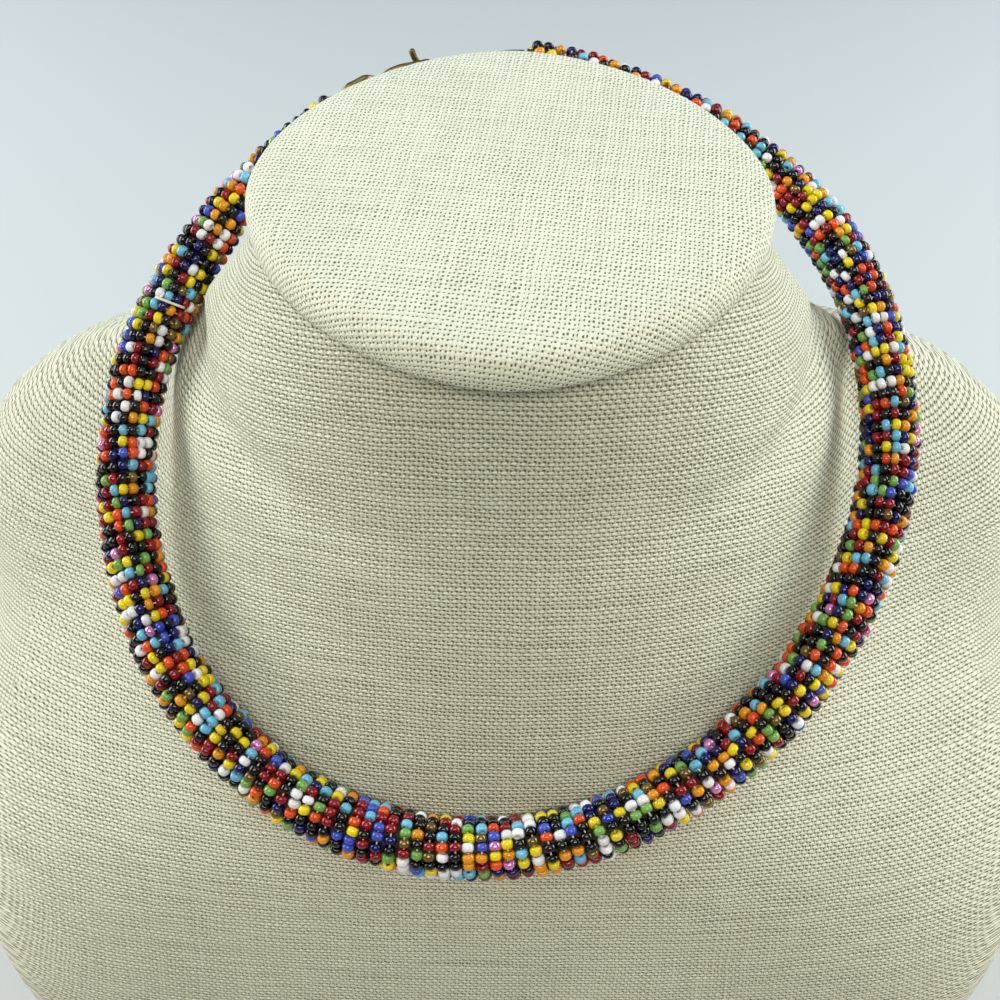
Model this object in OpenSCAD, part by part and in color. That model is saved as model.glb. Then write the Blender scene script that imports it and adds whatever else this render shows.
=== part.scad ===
// Seed-bead rope collar resting on a plain linen-covered neck bust.
// +Z is up, the viewer stands at -Y, and the origin is the middle of the footprint, on the table.

/* [Beaded rope] */
// Outer diameter of the rope over its full part
rope_d = 11.3; // [10:0.1:12]
// Outer diameter of the rope at its two thin ends
rope_end_d = 4.7; // [4.4:0.1:6]
// Diameter of one seed bead, which is the thickness of the wound layer
bead_d = 2.3; // [1.8:0.1:2.4]
// Clear gap between the wound beads and the core, and between the other pieces
gap = 0.12; // [0.05:0.01:0.2]
// Where the beads stop on the left, in degrees round from the front
left_end = -144.5; // [-148:0.5:-140]
// Where the beads stop on the right, in degrees round from the front
right_end = 177; // [170:1:180]
// Length of the thinning stretch at the left end, in degrees
left_taper = 45; // [30:1:60]
// Length of the thinning stretch at the right end, in degrees
right_taper = 62; // [40:1:80]

/* [Wire clasp] */
// Diameter of the bent brass wires
wire_d = 1.3; // [1:0.1:1.4]
// Inner radius of the round eye
eye_r = 1.6; // [1.5:0.1:2.2]
// Where the middle of the eye lies, in degrees round from the front
eye_at = -161.6; // [-163:0.2:-159]
// Radius of the hook's bend
hook_bend = 3; // [2.4:0.1:3.2]
// Length of the hook's tip above its bend
hook_tip = 5.2; // [2:0.1:5.4]

/* [Bust] */
// Height of the bust with its cap
bust_h = 172; // [165:1:190]
// Width of the cap on the neck
cap_w = 84; // [83:1:86]
// Depth of the cap on the neck
cap_l = 83.2; // [80:0.2:84]
// Height of the cap, from its seam to its top
cap_h = 8; // [6:0.1:9]
// How far the cap's top slopes down towards its front edge
cap_dip = 1.4; // [0:0.1:2]

/* [Hidden] */

// Distances of the neck's axis, the collar's and the cap's behind the middle of the footprint
neck_y = 12.5;
collar_y = neck_y + 5;
cap_y = neck_y + 0.3;

// Route of the rope's middle line, one row every 30 degrees from the front round by the right
// [distance from the collar's axis, height below the top of the cap]
route_step = 30;
route = [
  [76.2, 90.4],
  [74.3, 82.8],
  [74.0, 68.6],
  [74.9, 53.1],
  [74.6, 38.8],
  [67.2, 23.6],
  [62.6, 15.5],
  [60.2, 17.9],
  [60.2, 28.3],
  [71.2, 49.9],
  [76.8, 73.0],
  [77.6, 87.6]
];

// Level sections of the bust, from the seam under the cap down to the table
// [depth below the top of the cap, middle of the section, half width, front, back,
//  squareness (2 is an ellipse), half width of the shoulders, half depth of the shoulders]
// Middle, front and back are measured from the neck's axis, + to the back.
sections = [
  [cap_h + gap, 0, 40.5, -38, 38, 2, 30, 10],
  [18, 3, 45.5, -38.5, 40, 2, 36, 10],
  [27, 8, 51, -39.5, 42.5, 2, 42, 10],
  [36, 14, 56, -41, 45, 2, 50, 11],
  [44, 20, 58.6, -43.5, 47.5, 2, 54, 12],
  [51, 24.4, 65.9, -46.5, 49.5, 2, 63.4, 12],
  [60, 30, 70.7, -50.5, 51.5, 2, 85, 19],
  [66, 31.5, 74.3, -53, 52, 2, 96, 25],
  [72, 30, 78, -55.6, 52, 2, 105.5, 31],
  [80, 27, 81.8, -59.2, 52, 2, 114.5, 38],
  [95, 20, 92.5, -66.4, 52, 2.2, 121, 48],
  [115, 8, 114, -76.5, 51, 3.4, 110, 56],
  [135, 0, 117.5, -86, 49, 4.4, 100, 40],
  [152, 0, 115.5, -92, 47, 4.8, 90, 40],
  [bust_h, 0, 110, -95.5, 45, 4.8, 80, 30]
];
section_sides = 56;
section_steps = 3;
// How sharply the shoulders merge with the trunk
merge = 12;

// Edge of the cap, from its flat underside round to the middle of its top
// [inset from the widest outline, share of the cap's height]
cap_edge = [
  [2.6, 0],
  [1.0, 0.03],
  [0.3, 0.12],
  [0.05, 0.26],
  [0, 0.4],
  [0.15, 0.55],
  [0.7, 0.74],
  [1.8, 0.87],
  [5, 0.945],
  [14, 0.984],
  [27, 1]
];
cap_sides = 48;
cap_square = 1.8;

rope_rings = 80;
rope_sides = 16;
core_sides = 12;
wire_sides = 8;
// Beads still cover this much of the core at the very ends
end_layer = rope_end_d / 2 - wire_d / 2 - gap;

function unit(v) = v / norm(v);

// Smooth value between a and b, with slopes sa and sb there, at the share u of the way
function between(a, b, sa, sb, u) =
  a * (2 * pow(u, 3) - 3 * u * u + 1) + sa * (pow(u, 3) - 2 * u * u + u)
  + b * (3 * u * u - 2 * pow(u, 3)) + sb * (pow(u, 3) - u * u);

// Rises smoothly from 0 to 1 as x goes from 0 to 1
function smooth(x) = let (u = min(max(x, 0), 1)) u * u * (3 - 2 * u);

function route_row(i) = route[(i % len(route) + len(route)) % len(route)];

// Point of the rope's middle line, a degrees round from the front
function route_at(a) =
  let (
    i = floor(a / route_step),
    before = route_row(i - 1),
    here = route_row(i),
    next = route_row(i + 1),
    after = route_row(i + 2),
    row = between(here, next, (next - before) / 2, (after - here) / 2, a / route_step - i)
  )
  [row[0] * sin(a), collar_y - row[0] * cos(a), bust_h - row[1]];

// Share of the full thickness, 0 at a thin end and 1 along the full part
function fullness(a) =
  min(smooth((a - left_end) / left_taper), smooth((right_end - a) / right_taper));

function rope_r(a) = (rope_end_d + (rope_d - rope_end_d) * fullness(a)) / 2;
function layer(a) = end_layer + (bead_d - end_layer) * smooth(3 * fullness(a));
function core_r(a) = rope_r(a) - layer(a) - gap;

// Ring of points of radius r round p, square to the direction t, starting on the side of out
function ring(p, t, out, r, sides) =
  let (d = unit(t), o = unit(out - (out * d) * d), b = cross(o, d))
  [for (k = [0:sides - 1]) p + r * (cos(360 * k / sides) * o + sin(360 * k / sides) * b)];

function route_dir(a) = route_at(a + 0.5) - route_at(a - 0.5);
function outward(a) = [sin(a), -cos(a), 0];

// Faces that join count rings of points, counted from the first one, open at both ends
function skin(count, sides, first, flip = false) =
  [for (i = [0:count - 2]) for (k = [0:sides - 1])
    let (
      a = first + i * sides + k,
      b = first + i * sides + (k + 1) % sides,
      quad = [a, b, b + sides, a + sides]
    )
    each (flip ? [[quad[0], quad[2], quad[1]], [quad[0], quad[3], quad[2]]]
               : [[quad[0], quad[1], quad[2]], [quad[0], quad[2], quad[3]]])];

// Solid through rings of points; each ring runs clockwise seen from the next one
module solid(rings) {
  sides = len(rings[0]);
  count = len(rings);
  polyhedron(
    points = [for (r = rings) each r],
    faces = concat(
      skin(count, sides, 0),
      [[for (k = [sides - 1:-1:0]) k]],
      [[for (k = [0:sides - 1]) (count - 1) * sides + k]]
    )
  );
}

// Pipe between outer and inner rings of points
module pipe(outer, inner) {
  sides = len(outer[0]);
  count = len(outer);
  size = count * sides;
  last = size - sides;
  polyhedron(
    points = concat([for (r = outer) each r], [for (r = inner) each r]),
    faces = concat(
      skin(count, sides, 0),
      skin(count, sides, size, true),
      [for (k = [0:sides - 1]) let (n = (k + 1) % sides) [k, size + k, size + n, n]],
      [for (k = [0:sides - 1]) let (n = (k + 1) % sides)
        [last + k, last + n, size + last + n, size + last + k]]
    )
  );
}

// Angles of the rope's rings
function rope_angles() =
  [for (i = [0:rope_rings - 1]) left_end + (right_end - left_end) * i / (rope_rings - 1)];

module bead_winding() {
  color("firebrick")
    pipe(
      [for (a = rope_angles()) ring(route_at(a), route_dir(a), outward(a), rope_r(a), rope_sides)],
      [for (a = rope_angles())
        ring(route_at(a), route_dir(a), outward(a), core_r(a) + gap, rope_sides)]
    );
}

module rope_core() {
  color("ivory")
    solid([for (a = rope_angles())
      ring(route_at(a), route_dir(a), outward(a), core_r(a), core_sides)]);
}

// Wire swept along points, with sideways as the side that each ring starts on
module wire(points, sideways) {
  last = len(points) - 1;
  color("darkgoldenrod")
    solid([for (i = [0:last])
      ring(points[i], points[min(i + 1, last)] - points[max(i - 1, 0)], sideways,
        wire_d / 2, wire_sides)]);
}

// The wires start this far beyond the ends of the core, in degrees
wire_start = 0.3;
// The eye's wire sinks this far below the rope's route, but bends up in a hump and a low step
eye_sink = 0.25;
eye_hump = 1.5;
eye_step = 0.5;
eye_mid = route_at(eye_at) - [0, 0, eye_sink];
// Level direction along the rope at the eye, towards the left end of the beads
eye_dir = unit([route_dir(eye_at)[0], route_dir(eye_at)[1], 0]);
level_side = cross([0, 0, 1], eye_dir);
// The eye leans down to the back by this angle
eye_lean = 30;
eye_side = cos(eye_lean) * level_side + [0, 0, sin(eye_lean)];
eye_wire_r = eye_r + wire_d / 2;
// Its straight part stops this many degrees before the middle of the eye
eye_reach = 3.3;
shank_steps = 22;
// Direction of the hook's wire as it enters its tip, and at the tip's end, in degrees from level
hook_enter = 50;
hook_end = 80;
// Where the hook's wire crosses the level of the eye, behind its middle
hook_cross = 0.3;

// Point t degrees round the eye, at the distance r from its middle
function eye_point(t, r) = eye_mid + r * (cos(t) * eye_dir + sin(t) * eye_side);

module eye_wire() {
  start = left_end - wire_start;
  stop = eye_at + eye_reach;
  wire(
    concat(
      [for (i = [0:shank_steps])
        let (u = i / shank_steps)
        route_at(start + (stop - start) * u)
          + [0, 0, eye_hump * smooth(5 * u) * smooth((0.66 - u) / 0.24)
            + eye_step * smooth((u - 0.7) / 0.16) - eye_sink * smooth(3 * u)]],
      [eye_point(12, eye_wire_r + 0.4)],
      [for (t = [30:18:336]) eye_point(t, eye_wire_r)]
    ),
    [0, 0, 1]
  );
}

// The hook passes under the eye and stands up inside it, curving on towards the eye's shank
module hook_wire() {
  // End of the bend, so far below the eye's level that the tip crosses it at hook_cross
  low = hook_bend * (1 - cos(hook_enter)) - 2.25;
  bend_end = eye_mid + [0, 0, low] - (hook_cross - low / tan(hook_enter + 4)) * eye_dir;
  bend_mid = bend_end
    + hook_bend * (cos(hook_enter) * [0, 0, 1] - sin(hook_enter) * eye_dir);
  base = bend_mid - [0, 0, hook_bend];
  // The tip turns on a wider bend
  tip_bend = hook_tip / (hook_end - hook_enter) * 180 / PI;
  tip_mid = bend_end
    + tip_bend * (cos(hook_enter) * [0, 0, 1] - sin(hook_enter) * eye_dir);
  start = right_end + wire_start;
  stop = 360 + eye_at - 3;
  wire(
    concat(
      [for (i = [0:9])
        let (a = start + (stop - start) * i / 9, share = smooth(i / 7))
        (route_at(a) - [0, 0, 0.35]) * (1 - share)
          + (base - eye_dir * (0.3 + 1.2 * (9 - i))) * share],
      [for (t = [0:10:hook_enter])
        bend_mid + hook_bend * (sin(t) * eye_dir - [0, 0, cos(t)])],
      [for (i = [1:6])
        let (t = hook_enter + (hook_end - hook_enter) * i / 6)
        tip_mid + tip_bend * (sin(t) * eye_dir - [0, 0, cos(t)])]
    ),
    level_side
  );
}

function section_slope(i) =
  let (last = len(sections) - 1, lo = sections[max(i - 1, 0)], hi = sections[min(i + 1, last)])
  (hi - lo) / (hi[0] - lo[0]);

// Row of the section table a share u of the way from row i to the next
function section_row(i, u) =
  let (a = sections[i], b = sections[i + 1], drop = b[0] - a[0])
  between(a, b, section_slope(i) * drop, section_slope(i + 1) * drop, u);

// Distance from the middle of a section to its edge, a degrees round from the front
function section_reach(row, a) =
  let (
    depth = cos(a) > 0 ? row[1] - row[3] : row[4] - row[1],
    trunk = pow(pow(abs(sin(a)) / row[2], row[5]) + pow(abs(cos(a)) / depth, row[5]), -1 / row[5]),
    shoulder = 1 / norm([sin(a) / row[6], cos(a) / row[7]])
  )
  pow(pow(trunk, merge) + pow(shoulder, merge), 1 / merge);

function section_ring(row) =
  [for (k = [0:section_sides - 1])
    let (a = 360 * k / section_sides, r = section_reach(row, a))
    [r * sin(a), neck_y + row[1] - r * cos(a), bust_h - row[0]]];

module bust_form() {
  last = len(sections) - 1;
  color("linen")
    solid([
      each [for (i = [0:last - 1]) for (s = [0:section_steps - 1])
        section_ring(section_row(i, s / section_steps))],
      section_ring(sections[last])
    ]);
}

// Oval ring of the cap, inset from its widest outline
function cap_ring(inset, h) =
  [for (k = [0:cap_sides - 1])
    let (
      a = 360 * k / cap_sides,
      r = pow(pow(abs(sin(a)) / (cap_w / 2 - inset), cap_square)
        + pow(abs(cos(a)) / (cap_l / 2 - inset), cap_square), -1 / cap_square)
    )
    let (front = max(r * cos(a) - 15, 0) / (cap_l / 2 - 15))
    [r * sin(a), cap_y - r * cos(a), bust_h - cap_h + h * (cap_h - cap_dip * front * front)]];

module neck_cap() {
  top = len(cap_edge) - 1;
  color("ivory")
    solid([for (i = [top:-1:0]) cap_ring(cap_edge[i][0], cap_edge[i][1])]);
}

bust_form();
neck_cap();
rope_core();
bead_winding();
eye_wire();
hook_wire();
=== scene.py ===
"""Looks of a seed-bead rope collar lying on a plain linen-covered neck bust.

Everything is in metres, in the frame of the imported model: +Z up, the viewer at -Y, and the
origin on the table in the middle of the footprint. Shapes follow the same tables and rules as
the CAD source, so each piece lies where its solid does. Tables are in millimetres.
"""
import math

import bpy
from bpy.props import FloatProperty, FloatVectorProperty, IntProperty, PointerProperty
from mathutils import Matrix, Vector


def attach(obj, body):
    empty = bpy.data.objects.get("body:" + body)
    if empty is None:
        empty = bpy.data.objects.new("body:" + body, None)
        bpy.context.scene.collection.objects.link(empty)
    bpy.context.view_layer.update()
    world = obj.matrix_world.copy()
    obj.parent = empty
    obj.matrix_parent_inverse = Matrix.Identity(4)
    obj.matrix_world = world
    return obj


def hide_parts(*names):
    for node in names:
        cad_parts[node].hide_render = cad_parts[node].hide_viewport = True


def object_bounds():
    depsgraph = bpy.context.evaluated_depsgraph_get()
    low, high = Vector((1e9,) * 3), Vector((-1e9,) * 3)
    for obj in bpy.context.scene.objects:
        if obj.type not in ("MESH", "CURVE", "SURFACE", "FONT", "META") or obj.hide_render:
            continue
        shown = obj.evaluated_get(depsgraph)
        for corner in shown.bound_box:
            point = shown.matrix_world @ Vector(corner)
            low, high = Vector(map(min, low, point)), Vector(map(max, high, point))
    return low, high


bl_info = {
    "name": "Beaded collar on a neck bust",
    "version": (1, 0, 0),
    "blender": (4, 5, 0),
    "location": "3D Viewport > Sidebar > Collar",
    "description": "Builds a wound seed-bead collar and the linen-covered bust that holds it",
    "category": "Object",
}

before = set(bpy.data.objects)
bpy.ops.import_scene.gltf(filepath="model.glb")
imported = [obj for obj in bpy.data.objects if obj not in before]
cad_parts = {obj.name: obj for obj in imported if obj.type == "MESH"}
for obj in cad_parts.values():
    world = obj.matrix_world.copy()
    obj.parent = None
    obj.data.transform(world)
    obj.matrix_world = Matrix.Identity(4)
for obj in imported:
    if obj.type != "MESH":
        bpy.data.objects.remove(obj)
CAD_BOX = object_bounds()
TOP = CAD_BOX[1][2]
MM = 0.001
UP = Vector((0, 0, 1))

# Distances of the neck's axis, the collar's and the cap's behind the middle of the footprint
NECK_Y, COLLAR_Y, CAP_Y = 12.5, 17.5, 12.8

# Middle line of the rope every so many degrees from the front round by the right:
# distance from the collar's axis, height below the top of the cap
ROUTE_STEP = 30
ROUTE = [(76.2, 90.4), (74.3, 82.8), (74.0, 68.6), (74.9, 53.1), (74.6, 38.8), (67.2, 23.6),
         (62.6, 15.5), (60.2, 17.9), (60.2, 28.3), (71.2, 49.9), (76.8, 73.0), (77.6, 87.6)]
# Degrees where the rope ends and over which it tapers; its thickness in front and at its ends
LEFT_END, RIGHT_END = -144.5, 177
LEFT_TAPER, RIGHT_TAPER = 45, 62
ROPE_D, ROPE_END_D = 11.3, 4.7

# Level sections of the bust: depth below the top of the cap, middle, half width, front, back,
# squareness, half width of the shoulders, half depth of the shoulders
SECTIONS = [
    (8.12, 0, 40.5, -38, 38, 2, 30, 10),
    (18, 3, 45.5, -38.5, 40, 2, 36, 10),
    (27, 8, 51, -39.5, 42.5, 2, 42, 10),
    (36, 14, 56, -41, 45, 2, 50, 11),
    (44, 20, 58.6, -43.5, 47.5, 2, 54, 12),
    (51, 24.4, 65.9, -46.5, 49.5, 2, 63.4, 12),
    (60, 30, 70.7, -50.5, 51.5, 2, 85, 19),
    (66, 31.5, 74.3, -53, 52, 2, 96, 25),
    (72, 30, 78, -55.6, 52, 2, 105.5, 31),
    (80, 27, 81.8, -59.2, 52, 2, 114.5, 38),
    (95, 20, 92.5, -66.4, 52, 2.2, 121, 48),
    (115, 8, 114, -76.5, 51, 3.4, 110, 56),
    (135, 0, 117.5, -86, 49, 4.4, 100, 40),
    (152, 0, 115.5, -92, 47, 4.8, 90, 40),
    (172, 0, 110, -95.5, 45, 4.8, 80, 30),
]

# Edge of the cap, from under its rim round to the middle of its top: inset, share of its height
CAP_W, CAP_L, CAP_H, CAP_DIP, CAP_SQUARE = 84, 83.2, 8, 1.4, 1.8
CAP_EDGE = [(2.6, 0), (1.0, 0.03), (0.3, 0.12), (0.05, 0.26), (0, 0.4), (0.15, 0.55),
            (0.7, 0.74), (1.8, 0.87), (5, 0.945), (14, 0.984), (27, 1)]

# Clasp, its eye: where its middle lies, its inner radius, lean, sink, hump and step
EYE_AT, EYE_R, EYE_LEAN, EYE_SINK, EYE_HUMP, EYE_STEP = -161.6, 1.6, 30, 0.25, 1.5, 0.5
# How many degrees before the eye its straight wire ends; at which angle round the eye, and how
# far off its rim, the wire joins it; angles of the first ring on the rim, the end and the step
EYE_NECK, EYE_JOIN, EYE_FLARE, EYE_ARC = 3.3, 12, 0.4, (30, 337, 9)
# The hook: its bend, tip length, directions where its tip starts and ends, and where it
# crosses the eye; how far it passes below the eye's middle and at what extra slope
HOOK_BEND, HOOK_TIP, HOOK_ENTER, HOOK_END, HOOK_CROSS = 3, 5.2, 50, 80, 0.3
HOOK_DROP, HOOK_SLOPE = 2.25, 4
# How many degrees before the eye its straight wire ends, how far that wire sinks, and how far
# behind the bend its last ring and each one before that lie
HOOK_NECK, HOOK_SINK, HOOK_LEAD, HOOK_PITCH = 3, 0.35, 0.3, 0.4
# Degrees from the rope's ends to the wires, sides round a wire, and the angles of the rings
# that round off its ends; steps along the eye's wire and along the hook's wire, the part of it
# that leads over to the bend, the bend and the tip
WIRE_IN, WIRE_SIDES, TIP_ANGLES = 0.3, 14, [math.radians(t) for t in (80, 60, 38, 18)]
EYE_STEPS, HOOK_STEPS, LEAD_STEPS, BEND_STEPS, TIP_STEPS = 66, 27, 21, 8, 10


def linear(colour):
    """Linear red, green and blue of an sRGB colour given as six hex digits."""
    parts = [int(colour[i:i + 2], 16) / 255 for i in (0, 2, 4)]
    return tuple(c / 12.92 if c <= 0.04045 else ((c + 0.055) / 1.055) ** 2.4 for c in parts)


def colour_setting(label, text, default):
    return FloatVectorProperty(name=label, description=text, default=linear(default),
                               subtype="COLOR", size=3, min=0, max=1)


def length_setting(label, text, default):
    return FloatProperty(name=label, description=text, default=default * MM, min=0,
                         precision=5, unit="LENGTH")


def power_setting(label, text, default):
    return FloatProperty(name=label, description=text, default=default, min=0, unit="POWER")


class CollarBeadSettings(bpy.types.PropertyGroup):
    bead_width: length_setting("Bead width", "Width of one bead across its hole", 2.3)
    bead_length: length_setting("Bead length", "Length of one bead along its hole", 1.62)
    bead_step: length_setting("Bead step", "Distance from bead to bead on the thread", 1.66)
    row_step: length_setting("Row step", "Distance from one turn of the winding to the next", 2.3)
    wander: length_setting("Wander", "How far the rows stray from an even winding", 0.55)
    unevenness: FloatProperty(name="Unevenness", description="How much the beads differ in size",
                              default=0.055, min=0, max=0.3, subtype="FACTOR")
    jitter: length_setting("Jitter", "How far a bead sits off its place in the row", 0.13)
    tilt: FloatProperty(name="Tilt", description="How far a bead leans off the thread",
                        default=math.radians(12), min=0, max=1, subtype="ANGLE")
    seed: IntProperty(name="Seed", description="Picks another mix of beads", default=11, min=0)
    thread_width: length_setting("Thread width", "Width of the beading thread", 0.32)
    black: colour_setting("Black", "Opaque black glass", "020203")
    navy: colour_setting("Navy", "Opaque dark blue glass", "0B0A4E")
    red: colour_setting("Red", "Opaque dark red glass", "7C0711")
    orange: colour_setting("Orange", "Opaque orange glass", "D0460A")
    amber: colour_setting("Amber", "Opaque amber glass", "D68902")
    yellow: colour_setting("Yellow", "Opaque yellow glass", "DAC103")
    green: colour_setting("Green", "Opaque grass green glass", "6C9E47")
    sky: colour_setting("Sky blue", "Opaque sky blue glass", "64AECE")
    white: colour_setting("White", "Opaque white glass", "DDDDE0")
    blue: colour_setting("Blue", "Opaque cornflower blue glass", "3A4CB2")
    pink: colour_setting("Pink", "Silver-lined pink glass", "DE8CC6")
    bronze: colour_setting("Bronze", "Silver-lined bronze glass", "7A6336")


class CollarLinenSettings(bpy.types.PropertyGroup):
    body_across: length_setting("Bust warp step", "Step of the upright threads on the bust", 0.7)
    body_along: length_setting("Bust weft step", "Step of the level threads on the bust", 0.8)
    cap_across: length_setting("Cap warp step", "Step of the threads from side to side", 0.69)
    cap_along: length_setting("Cap weft step", "Step of the threads from front to back", 0.85)
    cloth: colour_setting("Cloth", "Washed, undyed linen thread", "DFE2CD")
    slub: colour_setting("Slub", "Coarser, duller stretches of thread", "BDBAA0")
    gap: colour_setting("Gap", "Shade down in the gaps between threads", "625F49")


class CollarClaspSettings(bpy.types.PropertyGroup):
    wire_width: length_setting("Wire width", "Diameter of the clasp's wire", 1.3)
    brass: colour_setting("Brass", "Where the brass is rubbed clean", "9A8454")
    tarnish: colour_setting("Tarnish", "Dull film on old brass", "4C452F")


class CollarStageSettings(bpy.types.PropertyGroup):
    floor: colour_setting("Floor", "Plain pale tabletop", "B7BBBB")
    room: colour_setting("Room", "Colour of the light that fills the room", "F3F9FF")
    cool: colour_setting("Cool light", "Colour of the top and the high side lights", "D7EEFF")
    warm: colour_setting("Warm light", "Colour of the front and the low side lights", "FFF1DD")
    room_light: FloatProperty(name="Room light", description="Strength of the filling light",
                              default=0.22, min=0, soft_max=3)
    top_light: power_setting("Top light", "Power of the light overhead", 1.9)
    front_light: power_setting("Front light", "Power of the wide light in front", 4.8)
    high_light: power_setting("High side lights",
                              "Power of each of the two lights high at the sides", 4.8)
    low_light: power_setting("Low side lights",
                             "Power of each of the two lights low at the sides", 4.2)


def node(tree, kind, inputs=None, **settings):
    """Adds one node. Inputs map a socket's name or number to a value or to another socket."""
    new = tree.nodes.new(kind)
    for key, value in settings.items():
        setattr(new, key, value)
    for key, value in (inputs or {}).items():
        if isinstance(value, bpy.types.NodeSocket):
            tree.links.new(value, new.inputs[key])
        else:
            new.inputs[key].default_value = value
    return new


def opaque(colour):
    return (*colour, 1.0)


def material(name, uv_map=None):
    """Empty node material; returns it, its tree and the place on the piece that it is seen at."""
    made = bpy.data.materials.new(name)
    made.use_nodes = True
    tree = made.node_tree
    tree.nodes.clear()
    if uv_map:
        return made, tree, node(tree, "ShaderNodeUVMap", uv_map=uv_map).outputs[0]
    return made, tree, node(tree, "ShaderNodeTexCoord").outputs["Object"]


def finish_material(tree, height, strength, distance, values):
    """Ends a material: a surface with these values, and with bumps of this height."""
    bump = node(tree, "ShaderNodeBump",
                {"Height": height, "Strength": strength, "Distance": distance})
    skin = node(tree, "ShaderNodeBsdfPrincipled", {**values, "Normal": bump.outputs[0]})
    node(tree, "ShaderNodeOutputMaterial", {0: skin.outputs[0]})


def between(a, b, slope_a, slope_b, u):
    """Smooth value between a and b, with those slopes there, at the share u of the way."""
    return (a * (2 * u ** 3 - 3 * u * u + 1) + slope_a * (u ** 3 - 2 * u * u + u)
            + b * (3 * u * u - 2 * u ** 3) + slope_b * (u ** 3 - u * u))


def smooth(x):
    u = min(max(x, 0), 1)
    return u * u * (3 - 2 * u)


def route_at(a):
    """Point of the rope's middle line, a degrees round from the front."""
    i = math.floor(a / ROUTE_STEP)
    rows = [Vector(ROUTE[(i + k) % len(ROUTE)]) for k in (-1, 0, 1, 2)]
    away, down = between(rows[1], rows[2], (rows[2] - rows[0]) / 2, (rows[3] - rows[1]) / 2,
                         a / ROUTE_STEP - i)
    t = math.radians(a)
    return Vector((away * math.sin(t), COLLAR_Y - away * math.cos(t), TOP / MM - down)) * MM


def rope_radius(a):
    full = min(smooth((a - LEFT_END) / LEFT_TAPER), smooth((RIGHT_END - a) / RIGHT_TAPER))
    return (ROPE_END_D + (ROPE_D - ROPE_END_D) * full) / 2 * MM


def object_from(name, points, faces, smooth_faces=True):
    mesh = bpy.data.meshes.new(name)
    mesh.from_pydata([tuple(p) for p in points], [], faces)
    mesh.validate()
    mesh.update()
    if smooth_faces:
        mesh.shade_smooth()
    made = bpy.data.objects.new(name, mesh)
    bpy.context.scene.collection.objects.link(made)
    return made


def tube(name, points, radius, sides=12, side=UP):
    """Round wire or thread through points, with rounded ends."""
    radii = [radius] * len(points)
    for end, beside in ((0, 1), (-1, -2)):
        away = (points[end] - points[beside]).normalized()
        tip = [points[end] + away * radius * (math.sin(t) - 1) for t in TIP_ANGLES]
        tip_radii = [radius * math.cos(t) for t in TIP_ANGLES]
        points[end] = points[end] - away * radius
        if end == 0:
            points, radii = tip + points, tip_radii + radii
        else:
            points, radii = points + tip[::-1], radii + tip_radii[::-1]
    # a ring's direction comes from its neighbours, so each end stays square to the wire
    rings = []
    last = len(points) - 1
    for i, (p, r) in enumerate(zip(points, radii)):
        along = (points[min(i + 1, last)] - points[max(i - 1, 0)]).normalized()
        out = (side - side.dot(along) * along).normalized()
        up = along.cross(out)
        rings.append([p + r * (math.cos(t) * out + math.sin(t) * up)
                      for t in (2 * math.pi * k / sides for k in range(sides))])
    return skinned(name, rings)


def skinned(name, rings, uv=None):
    """Closed piece through rings of points, with a fan over each end.

    uv gives the cloth's place at a ring and a point of it, for the face in a column and row.
    """
    sides, count = len(rings[0]), len(rings)
    points = [p for ring in rings for p in ring]
    faces = [(i * sides + k, i * sides + (k + 1) % sides,
              (i + 1) * sides + (k + 1) % sides, (i + 1) * sides + k)
             for i in range(count - 1) for k in range(sides)]
    for ring, order in ((0, 1), (count - 1, -1)):
        middle = sum(rings[ring], Vector()) / sides
        points.append(middle)
        centre = len(points) - 1
        for k in range(sides):
            pair = (ring * sides + k, ring * sides + (k + 1) % sides)
            faces.append((centre, *pair[::-order]))
    made = object_from(name, points, faces)
    if uv:
        layer = made.data.uv_layers.new(name="weave")
        for face in made.data.polygons:
            row, column = divmod(face.index, sides)
            for corner in face.loop_indices:
                i, k = divmod(made.data.loops[corner].vertex_index, sides)
                if i < count:
                    layer.data[corner].uv = uv(i, sides if k < column - 1 else k, column,
                                               min(row, count - 2))
    return made


# Linen: how far the noise makes threads wander, in metres; how far it shifts each thread and
# how far threads bend round each other, in radians; how much a float rises over its own
# crossings and sinks under the next; how much painted shade darkens the lower thread of the two
LINEN_STRAY, LINEN_SHIFT, LINEN_BEND, LINEN_SWING, LINEN_UNDER_SHADE = 0.0011, 2.6, 0.3, 0.42, 2.5


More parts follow.
